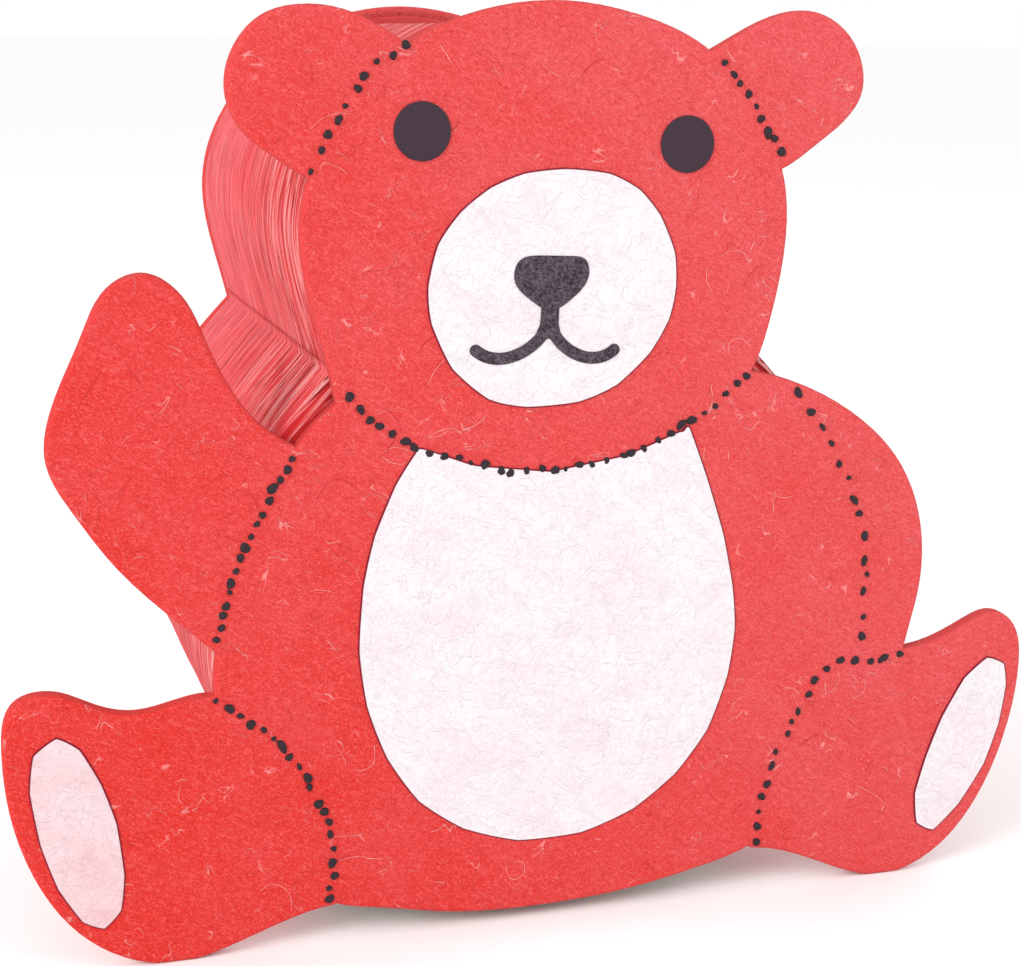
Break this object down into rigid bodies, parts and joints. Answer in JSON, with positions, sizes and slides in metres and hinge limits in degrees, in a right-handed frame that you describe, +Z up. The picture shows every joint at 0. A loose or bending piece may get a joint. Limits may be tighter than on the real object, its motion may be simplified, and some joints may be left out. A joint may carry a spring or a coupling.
{
  "type": "paper-covered bear figure holder",
  "caption": "Teddy-bear figure of red mulberry paper over board: full silhouette in front, hollow case open at the crown behind head and body, white patches, raised painted stitch dots.",
  "frame": {"origin": "on the table, in the middle of the figure's footprint; the feet of the front board and the flat under the back board lie in the same table plane", "axes": "+X to the viewer's right, +Y from the face towards the back, +Z up"},
  "size_m": [0.2204, 0.1246, 0.1884],
  "materials": {
    "greyboard": "matt grey board",
    "case_card": "matt grey card",
    "streaked_red_paper": "matt, long combed fibres",
    "white_paper": "matt, faint wrinkles",
    "eye_paper": "satin, smooth",
    "charcoal_ink": "matt, slightly mottled",
    "stitch_paint": "raised dried paint",
    "lining_paper": "matt",
    "red_mulberry_paper": "matt, fibrous"
  },
  "bodies": {
    "root": {"back_board": "greyboard", "back_cover_paper": "red_mulberry_paper", "back_lining_paper": "lining_paper", "belly_patch": "white_paper", "case_card_body_left": "case_card", "case_card_body_right": "case_card", "case_card_head_left": "case_card", "case_card_head_right": "case_card", "case_card_underside": "case_card", "case_lining_paper": "lining_paper", "case_paper_body_left": "streaked_red_paper", "case_paper_body_right": "streaked_red_paper", "case_paper_head_left": "streaked_red_paper", "case_paper_head_right": "streaked_red_paper", "case_paper_underside": "streaked_red_paper", "eye_left": "eye_paper", "eye_right": "eye_paper", "foot_pad_left": "white_paper", "foot_pad_right": "white_paper", "front_board": "greyboard", "front_cover_paper": "red_mulberry_paper", "front_reverse_paper": "red_mulberry_paper", "mouth_line": "charcoal_ink", "muzzle_patch": "white_paper", "nose": "charcoal_ink", "stitches_arm_lowered": "stitch_paint", "stitches_arm_raised": "stitch_paint", "stitches_ear_left": "stitch_paint", "stitches_ear_right": "stitch_paint", "stitches_leg_left": "stitch_paint", "stitches_leg_right": "stitch_paint", "stitches_neck": "stitch_paint"}
  },
  "joints": []
}
